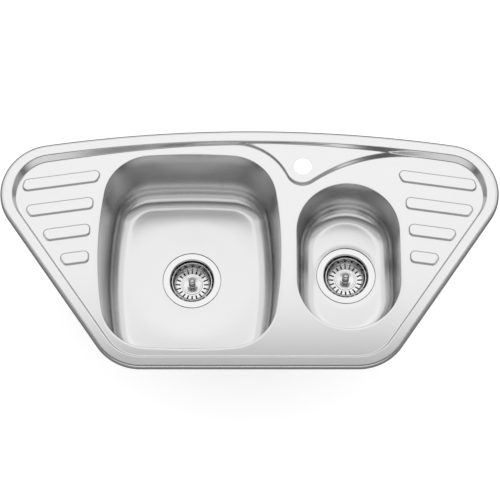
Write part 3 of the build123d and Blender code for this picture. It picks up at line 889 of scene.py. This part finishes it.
def threaded(name, node, body, axis, low, high, crest, depth, pitch, points):
    """A node's mesh with a thread on its shank, between two levels."""
    piece = drawn_in(name, node, axis, low, high, crest, depth)
    tall, length = depth * (1 + SUNK_SHARE), high - low - 2 * pitch
    grow(piece, WOUND, Foot_Place=[axis[0] * MM, axis[1] * MM, (low + pitch) * MM],
         Middle_Radius=(crest - tall / 2) * MM, Ridge_Height=tall * MM,
         Crest_Width=CREST_SHARE * pitch * MM, Foot_Width=FOOT_SHARE * pitch * MM,
         Length=length * MM, Turns=length / pitch, Points_Each_Turn=points)
    settle(piece)
    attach(piece, body)
    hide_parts(node)
    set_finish(piece, frame["nodes"][node].data.materials[0].name)
    return piece


# %% Threaded waste bodies and clip screws
PIPE_THREAD = dict(crest=23.9, depth=1.45, pitch=2.309, points=48)
SCREW_THREAD = dict(crest=2.5, depth=0.45, pitch=0.8, points=16)
OUTLET_LOW, OUTLET_HIGH = -88, -50     # from the flange's top
SCREW_LOW, SCREW_HIGH = -56, -18
CLIPS = 8

threads = []
for bowl in (MAIN, HALF):
    side, (x, y, level) = bowl["node"].split("_")[0], map(float, drain(bowl))
    threads.append(threaded(f"{side}_threaded_waste", f"{side}_waste_body", "sink",
                            np.array([x, y]), level + OUTLET_LOW, level + OUTLET_HIGH,
                            **PIPE_THREAD))
for number in range(1, CLIPS + 1):
    node = f"clip_{number}_screw"
    low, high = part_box(node)
    axis = (np.array(low[:2]) + high[:2]) / 2 / MM
    threads.append(threaded(f"clip_{number}_threaded_screw", node, node, axis,
                            SCREW_LOW, SCREW_HIGH, **SCREW_THREAD))
print("thread faces:", {piece.name: len(piece.data.polygons) for piece in threads})

# %% [markdown]
# ## Shared effects
# The deck and bowls have a satin finish: the sheet is brushed with fine belts, which leaves short
# scratches all lying one way. The scratches are too fine to model, so a node group turns stretched
# noise into a small height. Handling leaves soft cloudy marks, and a second group gives a value
# that drifts slowly. Painted images could do both, but noise has no seams and no edge of its own.
# Both groups only feed the material, so any piece can use them at its own strength.

# %% Brushed grain
GRAIN_DETAIL = 3.0


def new_group(name, inputs, output):
    """An empty shader node group with one output, and its input and output nodes."""
    group = bpy.data.node_groups.new(name, "ShaderNodeTree")
    for socket, (kind, value) in inputs.items():
        made = group.interface.new_socket(socket, in_out="INPUT", socket_type="NodeSocket" + kind)
        made.default_value = value
    group.interface.new_socket(output, in_out="OUTPUT", socket_type="NodeSocketFloat")
    return group, *add_nodes(group, "NodeGroupInput", "NodeGroupOutput")


def noise(group, place, output, scale, detail):
    """A noise texture that reads its place from a node's output."""
    made, = add_nodes(group, "ShaderNodeTexNoise")
    made.inputs["Scale"].default_value, made.inputs["Detail"].default_value = scale, detail
    wire(group, (place, output, made, "Vector"))
    return made


def grain_group():
    """Brushed scratches: noise stretched along one direction."""
    group, enter, leave = new_group("brushed grain", {"Stretch": ("Vector", (0.0,) * 3)}, "Height")
    place, stretch = add_nodes(group, "ShaderNodeTexCoord", "ShaderNodeVectorMath")
    stretch.operation = "MULTIPLY"
    scratches = noise(group, stretch, 0, 1.0, GRAIN_DETAIL)
    wire(group, (place, "Object", stretch, 0), (enter, "Stretch", stretch, 1),
         (scratches, "Fac", leave, "Height"))
    return group


GRAIN = grain_group()
print("shared effect:", GRAIN.name)

# %% Handling marks
CLOUD_SCALE, CLOUD_DETAIL = 14.0, 4.0


def cloud_group():
    """A value that drifts slowly round its middle, by up to a spread."""
    group, enter, leave = new_group(
        "handling marks", {"Value": ("Float", 0.0), "Spread": ("Float", 0.0)}, "Value")
    place, drift, amount = add_nodes(group, "ShaderNodeTexCoord", "ShaderNodeMapRange",
                                     "ShaderNodeMath")
    drift.inputs["To Min"].default_value, drift.inputs["To Max"].default_value = -1.0, 1.0
    amount.operation = "MULTIPLY_ADD"
    marks = noise(group, place, "Object", CLOUD_SCALE, CLOUD_DETAIL)
    wire(group, (marks, "Fac", drift, "Value"), (drift, "Result", amount, 0),
         (enter, "Spread", amount, 1), (enter, "Value", amount, 2), (amount, 0, leave, "Value"))
    return group


CLOUDS = cloud_group()
print("shared effect:", CLOUDS.name)

# %% [markdown]
# ## Materials
# Brushed deck, satin bowls, polished strainers, zinc-plated clips, moulded plastic, rubber and foam
# each get one material. Separate node trees could be drawn for all of them, but one function with a
# row of values for each keeps them alike. Steel seen at a flat angle through brushed scratches is
# duller than a mirror, so the brushed steels' grazing tint is held down. The polished steel's
# grazing tint is held much lower, which darkens the strainers' steep walls.

# %% Build a material


def use_group(material, group, **values):
    """Puts a shared effect into a material, with the material's own values."""
    made, = add_nodes(material.node_tree, "ShaderNodeGroup")
    made.node_tree = group
    for name, value in values.items():
        made.inputs[name].default_value = value
    return made


def new_material(name, colour, roughness, metallic, spread, tint, stretch, height):
    """A material whose roughness drifts a little, with grain of a height in metres."""
    material = bpy.data.materials.new(name)
    material.use_nodes = True
    tree = material.node_tree
    shader = tree.nodes["Principled BSDF"]
    for socket, value in (("Base Color", (*colour, 1)), ("Metallic", metallic),
                          ("Roughness", roughness), ("Specular Tint", (tint, tint, tint, 1))):
        shader.inputs[socket].default_value = value
    bump, = add_nodes(tree, "ShaderNodeBump")
    bump.inputs["Distance"].default_value = height
    marks = use_group(material, CLOUDS, Value=roughness, Spread=spread)
    grain = use_group(material, GRAIN, Stretch=stretch)
    wire(tree, (marks, "Value", shader, "Roughness"), (grain, "Height", bump, "Height"),
         (bump, "Normal", shader, "Normal"))
    return material


def add_drift(material, spread):
    """Lets the colour grow lighter and darker by a small share, as plating and mouldings do."""
    tree = material.node_tree
    shader = tree.nodes["Principled BSDF"]
    tinted, = add_nodes(tree, "ShaderNodeVectorMath")
    tinted.operation = "SCALE"
    tinted.inputs[0].default_value = shader.inputs["Base Color"].default_value[:3]
    marks = use_group(material, CLOUDS, Value=1.0, Spread=spread)
    wire(tree, (marks, "Value", tinted, "Scale"), (tinted, 0, shader, "Base Color"))


# %% Values of the record's slots
BRUSHED, SATIN, FINE = (25.0, 2500.0, 2500.0), (500.0, 2500.0, 2500.0), (1500.0,) * 3
DULL, DARK, FULL = 0.75, 0.15, 1.0        # tints at grazing angles
DRIFT = 0.08
STEELS = {                       # slot: roughness, metallic, its spread, tint, grain, its height
    "deck_steel": (0.2, 1.0, 0.02, DULL, BRUSHED, 4e-6),
    "bowl_steel": (0.23, 1.0, 0.02, DULL, SATIN, 4e-6),
    "polished_steel": (0.16, 1.0, 0.02, DARK, FINE, 1e-6)}
OTHERS = {
    "seal_rubber": (0.6, 0.0, 0.08, FULL, FINE, 2e-5),
    "seal_foam": (0.9, 0.0, 0.05, FULL, FINE, 2e-4),
    "sound_pad": (0.85, 0.0, 0.06, FULL, FINE, 1e-4),
    "white_plastic": (0.4, 0.0, 0.05, FULL, FINE, 1e-5),
    "clip_plastic": (0.45, 0.0, 0.05, FULL, FINE, 1e-5),
    "brass": (0.3, 1.0, 0.06, FULL, BRUSHED, 1e-5),
    "zinc_steel": (0.35, 1.0, 0.08, FULL, SATIN, 1e-5)}

colours = {entry["slot"]: entry["base_color"] for entry in frame["record"]["materials"]}
materials = {slot: new_material(slot.replace("_", " "), colours[slot], *finish)
             for slot, finish in (STEELS | OTHERS).items()}
for slot in OTHERS:
    add_drift(materials[slot], DRIFT)
print("materials:", sorted(materials))

# %% [markdown]
# ## Put the finishes on
# The bowls are brushed only where they show: their outsides keep the dull, slightly darker skin
# that the press leaves. They could be two meshes, but Solidify already marks the outer skin and
# the cut edges apart, so the same mesh takes a second material there.

# %% One material for each piece, two for the bowls
DRAWN_SHARE = 0.8                 # the drawn skin's colour, as a share of the brushed one's
DRAWN = (0.38, 1.0, 0.06, FULL, (300.0, 300.0, 40.0), 1e-5)

for node in frame["nodes"].values():
    node.material_slots[0].material = materials[node.data.materials[0].name]
for piece in [deck] + baskets + threads:
    piece.data.materials.clear()
    piece.data.materials.append(materials[piece["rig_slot"]])
drawn = new_material("drawn steel outside",
                     [DRAWN_SHARE * value for value in colours["bowl_steel"]], *DRAWN)
for bowl in bowls:
    bowl.material_slots[0].material = materials["bowl_steel"]
    bowl.material_slots[1].material = drawn
print("pieces with their own mesh:", len([deck] + bowls + baskets + threads))

# %% [markdown]
# ## Studio: room, lamp and floor
# Polished metal shows the room more than itself, so the studio is part of the finish. A picture of
# a real room could light it, but a few plain parts can be reasoned about and need no file. The
# room is white all round, one soft lamp stands behind and above, and the white floor keeps the
# sink's shadow.

# %% Room
ROOM_LIGHT, ROOM_SEEN = 0.8, 1.0      # strength as light, and as seen directly or in a mirror


def white_room():
    world = bpy.data.worlds.new("white room")
    bpy.context.scene.world = world
    world.use_nodes = True
    tree = world.node_tree
    path, strength = add_nodes(tree, "ShaderNodeLightPath", "ShaderNodeMapRange")
    seen, output = path, "Is Camera Ray"
    for other in ("Is Glossy Ray", "Is Transmission Ray"):
        either, = add_nodes(tree, "ShaderNodeMath")
        either.operation, either.use_clamp = "ADD", True
        wire(tree, (seen, output, either, 0), (path, other, either, 1))
        seen, output = either, 0
    strength.inputs["To Min"].default_value = ROOM_LIGHT
    strength.inputs["To Max"].default_value = ROOM_SEEN
    background = tree.nodes["Background"]
    background.inputs["Color"].default_value = (1, 1, 1, 1)
    wire(tree, (seen, output, strength, "Value"), (strength, "Result", background, "Strength"))


white_room()
print("room:", bpy.context.scene.world.name)

# %% Lamp
LAMP_PLACE, LAMP_SIZE, LAMP_POWER = Vector((0.0, 0.9, 2.2)), 2.0, 2.8

light = bpy.data.lights.new("top light", "AREA")
light.size, light.energy = LAMP_SIZE, LAMP_POWER
lamp = new_object("top light", light)
lamp.location = LAMP_PLACE
lamp.rotation_euler = LAMP_PLACE.to_track_quat("Z", "Y").to_euler()
lamp.visible_camera = False
print("lamp's distance (m):", round(LAMP_PLACE.length, 2))

# %% Floor
FLOOR_HALF, FLOOR_COLOUR, FLOOR_GLOW = 6, (0.9, 0.9, 0.9, 1), 0.48

floor_z = min(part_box(node)[0].z for node in frame["nodes"])


def square(half, level):
    return [(-half, -half, level), (half, -half, level), (half, half, level), (-half, half, level)]


def painted_mesh(name, corners, faces):
    """A stage piece's mesh, in metres, and the node tree of its material."""
    mesh, paint = bpy.data.meshes.new(name), bpy.data.materials.new(name)
    mesh.from_pydata(corners, [], faces)
    mesh.materials.append(paint)
    paint.use_nodes = True
    return mesh, paint.node_tree


def make_floor():
    """White ground that keeps the sink's shadow."""
    mesh, tree = painted_mesh("floor", square(FLOOR_HALF, floor_z), [range(4)])
    shader = tree.nodes["Principled BSDF"]
    for socket, value in (("Base Color", FLOOR_COLOUR), ("Roughness", 1.0),
                          ("Specular IOR Level", 0.0), ("Emission Color", (1, 1, 1, 1)),
                          ("Emission Strength", FLOOR_GLOW)):
        shader.inputs[socket].default_value = value
    floor = new_object("floor", mesh)


make_floor()
print("floor level (mm):", round(floor_z / MM, 1))

# %% [markdown]
# ## Studio: cards for the mirrors
# In an all-white room, bright steel has no shape. Photographers stand grey and black cards round
# it, and four do the same here. A graded card overhead gives the flats and the bowls' walls their
# light and dark bands. A surround at the horizon is what the steep forms mirror. A dark sweep
# beside the sink is painted shade, which the rolled edge mirrors in place of the shaded floor
# round the sink. A ground just above the floor, darkest under the sink, is a painted shadow,
# which the bowls' outsides mirror in place of the floor's own shadow.
# Lamps of many sizes could draw the bands too, but they would change the light on the object. Only
# mirrored rays see these cards, so they never dim the light that falls on the sink.

# %% A card whose brightness follows Y


def card(name, corners, faces, stops):
    """A card that only mirrored rays see. Its brightness follows stops of (Y, brightness)."""
    mesh, tree = painted_mesh(name, corners, faces)
    tree.nodes.clear()
    glow, out, place, split, share, ramp = add_nodes(
        tree, "ShaderNodeEmission", "ShaderNodeOutputMaterial", "ShaderNodeTexCoord",
        "ShaderNodeSeparateXYZ", "ShaderNodeMapRange", "ShaderNodeValToRGB")
    first, last = stops[0][0], stops[-1][0]
    share.inputs["From Min"].default_value, share.inputs["From Max"].default_value = first, last
    ramp.color_ramp.interpolation = "EASE"
    marks = ramp.color_ramp.elements
    for number, (y, brightness) in enumerate(stops):
        position = (y - first) / (last - first)
        mark = marks[number] if number < 2 else marks.new(position)
        mark.position, mark.color = position, (brightness, brightness, brightness, 1)
    wire(tree, (glow, 0, out, "Surface"), (place, "Object", split, 0), (split, "Y", share, "Value"),
         (share, "Result", ramp, "Fac"), (ramp, "Color", glow, "Color"))
    made = new_object(name, mesh)
    made.visible_camera = made.visible_diffuse = made.visible_shadow = False


# %% Graded card overhead
CARD_Z, CARD_HALF = 1.3, 2.5
CARD_STOPS = (       # (Y, brightness), from behind the camera to over the sink's back edge
    (-1.35, 1.0), (-1.15, 0.6), (-1.0, 0.06), (-0.65, 0.06), (-0.48, 0.4), (-0.3, 0.4),
    (-0.18, 0.3), (-0.06, 0.85), (0.05, 0.85), (0.13, 0.2), (0.18, 0.25), (0.26, 1.0))

card_front, card_back = CARD_STOPS[0][0], CARD_STOPS[-1][0]
card("graded card", [(-CARD_HALF, card_front, CARD_Z), (CARD_HALF, card_front, CARD_Z),
                     (CARD_HALF, card_back, CARD_Z), (-CARD_HALF, card_back, CARD_Z)],
     [range(4)], CARD_STOPS)
print("graded card's depth (m):", round(card_back - card_front, 2))

# %% Surround, sweep and ground
RING_R, RING_FOOT, RING_TOP, RING_FRONT_TOP = 3.0, -0.26, 0.6, 1.6
RING_EASE = (-0.5, 0.1)              # the top climbs between these sines of the turn, at the front
RING_STEP = 10                       # degrees
# The sweep's grey is painted shade: the rolled edge mirrors it where the floor round the sink lies
# in shade.
RING_GREY, SWEEP_PAINTED_SHADE = 0.33, 0.2
SWEEP_NEAR, SWEEP_FAR, SWEEP_Z = 15.0, 900.0, -0.03
GROUND_HALF, GROUND_GAP = 3.0, 2 * MM
# The ground's brightness is a painted shadow: darkest under the sink, where the floor lies in
# shade.
GROUND_SHADOW_STOPS = ((-GROUND_HALF, 0.9), (-0.6, 0.6), (0.0, 0.4), (0.6, 0.6), (GROUND_HALF, 0.9))
BEYOND = 10.0                        # no card reaches this far from the middle


def band(name, low_ring, high_ring, brightness):
    """A closed band between two rings of points."""
    count = len(low_ring)
    card(name, list(low_ring) + list(high_ring),
         [(i, (i + 1) % count, (i + 1) % count + count, i + count) for i in range(count)],
         ((-BEYOND, brightness), (BEYOND, brightness)))


turns = np.radians(np.arange(0, 360, RING_STEP))
circle_x, circle_y = RING_R * np.cos(turns), RING_R * np.sin(turns)
tops = RING_TOP + (RING_FRONT_TOP - RING_TOP) * smooth(-np.sin(turns), *RING_EASE)
band("grey surround", np.column_stack([circle_x, circle_y, np.full(len(turns), RING_FOOT)]),
     np.column_stack([circle_x, circle_y, tops]), RING_GREY)
# The sweep beside the sink is painted shade for the rolled edge to mirror.
near, far = (np.insert(parallel(outline, way) * MM, 2, SWEEP_Z, axis=1)
             for way in (SWEEP_NEAR, SWEEP_FAR))
band("painted shade sweep", near, far, SWEEP_PAINTED_SHADE)
# The ground just above the floor is a painted shadow for the bowls' outsides to mirror.
card("painted shadow ground", square(GROUND_HALF, floor_z + GROUND_GAP), [range(4)], GROUND_SHADOW_STOPS)

# %% [markdown]
# ## Camera
# The sink is seen from in front, about seventy degrees above level. A short lens from close by
# would splay the bowls' walls, so a long lens stands well back, as in a catalogue.

# %% Camera
CAMERA_PLACE = Vector((0.9, -1330.5, 3454.2)) * MM
CAMERA_TARGET = Vector((0.9, -4.5, 0.0)) * MM
LENS, SENSOR = 139.9, 36.0

camera_data = bpy.data.cameras.new("camera")
camera_data.lens, camera_data.sensor_width = LENS, SENSOR
camera = new_object("camera", camera_data)
camera.location = CAMERA_PLACE
camera.rotation_euler = (CAMERA_TARGET - CAMERA_PLACE).to_track_quat("-Z", "Y").to_euler()
bpy.context.scene.camera = camera
bpy.context.scene.view_settings.view_transform = "Standard"
print("camera's distance (m):", round((CAMERA_TARGET - CAMERA_PLACE).length, 2))
